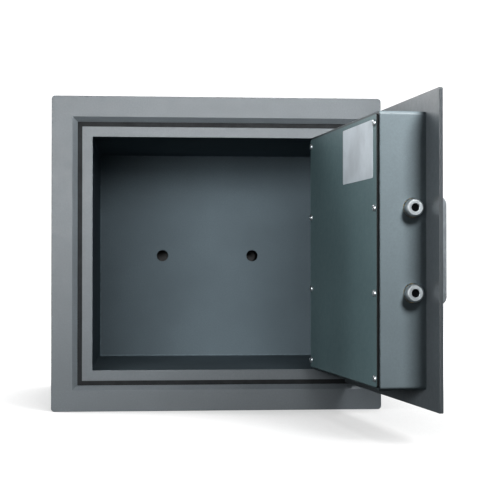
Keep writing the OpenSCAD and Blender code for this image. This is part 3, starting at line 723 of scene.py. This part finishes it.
FLOOR_HALF = 6            # metres
floor_bm = bmesh.new()
bmesh.ops.create_grid(floor_bm, x_segments=8, y_segments=8, size=FLOOR_HALF)
floor = to_object(floor_bm, "studio_floor")
material, tree, shader, where = start("pale_floor")
tree.links.new(mix(tree, noise(tree, where, 3), (0.30, 0.30, 0.30, 1), (0.32, 0.32, 0.32, 1)),
               shader.inputs["Base Color"])
shader.inputs["Roughness"].default_value = 0.6
shader.inputs["Specular IOR Level"].default_value = 0.15
shader.inputs["Emission Color"].default_value = (1, 1, 1, 1)
# The floor glows evenly like a lit sweep, with a painted contact shadow where the safe stands over it.
contact_shadow_ao = add(tree, "ShaderNodeAmbientOcclusion", {"Distance": 0.30}, samples=16).outputs["AO"]
tree.links.new(spread(tree, contact_shadow_ao, 0.50, 1.0, 0.45, 1.0), shader.inputs["Emission Strength"])
floor.data.materials.append(material)
floor.visible_diffuse = floor.visible_glossy = False

scene = bpy.context.scene
scene.view_settings.view_transform = "Standard"
scene.view_settings.look = "Medium High Contrast"

world = bpy.data.worlds.new("studio")
scene.world = world
world.use_nodes = True
tree = world.node_tree
tree.nodes.clear()
# The camera sees a white backdrop, reflections see a dim one, and the ambient light is dimmer still.
ray = add(tree, "ShaderNodeLightPath").outputs
soft = add(tree, "ShaderNodeBackground", {"Color": (0.70, 1.0, 1.10, 1), "Strength": 0.008})
backdrop = add(tree, "ShaderNodeBackground", {"Color": (1, 1, 1, 1), "Strength": 1.0})
mirrored = add(tree, "ShaderNodeBackground", {"Color": (0.9, 1.0, 1.05, 1), "Strength": 0.10})
unseen = add(tree, "ShaderNodeMixShader",
             {0: ray["Is Glossy Ray"], 1: soft.outputs[0], 2: mirrored.outputs[0]})
both = add(tree, "ShaderNodeMixShader",
           {0: ray["Is Camera Ray"], 1: unseen.outputs[0], 2: backdrop.outputs[0]})
add(tree, "ShaderNodeOutputWorld", {"Surface": both.outputs[0]})


def area(name, at, target, size, watts, beam=180):
    """Softbox at a place, turned to a target, with its size in metres and its beam in degrees."""
    lamp = bpy.data.lights.new(name, "AREA")
    lamp.shape, lamp.size, lamp.size_y = "RECTANGLE", *size
    lamp.energy, lamp.spread = watts, math.radians(beam)
    made = bpy.data.objects.new(name, lamp)
    scene.collection.objects.link(made)
    made.location = at
    made.rotation_euler = (Vector(target) - Vector(at)).to_track_quat("-Z", "Y").to_euler()
    return made


def link_light(lamp, state, *names):
    """Makes a lamp light only the named pieces (INCLUDE), or everything but them (EXCLUDE)."""
    group = bpy.data.collections.new(f"{lamp.name} lamp, {state.lower()}d")
    for name in names:
        group.objects.link(bpy.data.objects[name])
    lamp.light_linking.receiver_collection = group
    for row in group.collection_objects:
        row.light_linking.link_state = state


# The lining and the door's casing have lamps of their own, so that their levels are set apart from the rest.
BODY_AIM = (0, 0.1, 0.2)
DOOR_AIM = (0.2, -0.4, 0.2)
LEFT_AT, LEFT_SIZE = (-0.54, -1.9, 0.42), (0.98, 0.46)
RIGHT_AT, RIGHT_SIZE = (0.18, -1.9, 0.62), (0.44, 0.40)
CAVITY_GAIN = 1.8         # how much stronger the softboxes are on the lining
for side, at, size, watts in (("left", LEFT_AT, LEFT_SIZE, 15.0), ("right", RIGHT_AT, RIGHT_SIZE, 7.5)):
    link_light(area("softbox_" + side, at, BODY_AIM, size, watts),
               "EXCLUDE", "cavity_lining", "door_casing")
    link_light(area("cavity_" + side, at, BODY_AIM, size, CAVITY_GAIN * watts),
               "INCLUDE", "cavity_lining")
link_light(area("top", (0.50, -1.0, 0.90), (0.05, -0.25, 0.38), (0.4, 0.3), 1.15, beam=55),
           "EXCLUDE", "cavity_lining", "door_casing")
link_light(area("door_side", (0.46, -1.02, 0.92), DOOR_AIM, (0.28, 0.28), 18),
           "INCLUDE", "door_casing")
link_light(area("door_fill", LEFT_AT, DOOR_AIM, LEFT_SIZE, 2.8),
           "INCLUDE", "door_casing", "door_front")
area("back_left", (-1.5, 1.3, 1.1), (0, 0.1, 0.2), (1.4, 1.2), 34)
area("back_right", (1.7, 0.8, 1.0), (0, 0, 0.2), (1.4, 1.2), 30)

CAMERA_AT = (-0.076, -1.682, 0.174)
CAMERA_RISE, CAMERA_TURN = 0.77, -4.37    # degrees above level, and round from straight ahead
SENSOR, LENS = 36, 89.6                   # millimetres
camera_data = bpy.data.cameras.new("camera")
camera_data.sensor_width, camera_data.lens = SENSOR, LENS
camera = bpy.data.objects.new("camera", camera_data)
scene.collection.objects.link(camera)
camera.location = CAMERA_AT
camera.rotation_euler = (math.radians(90 + CAMERA_RISE), 0, math.radians(CAMERA_TURN))
scene.camera = camera
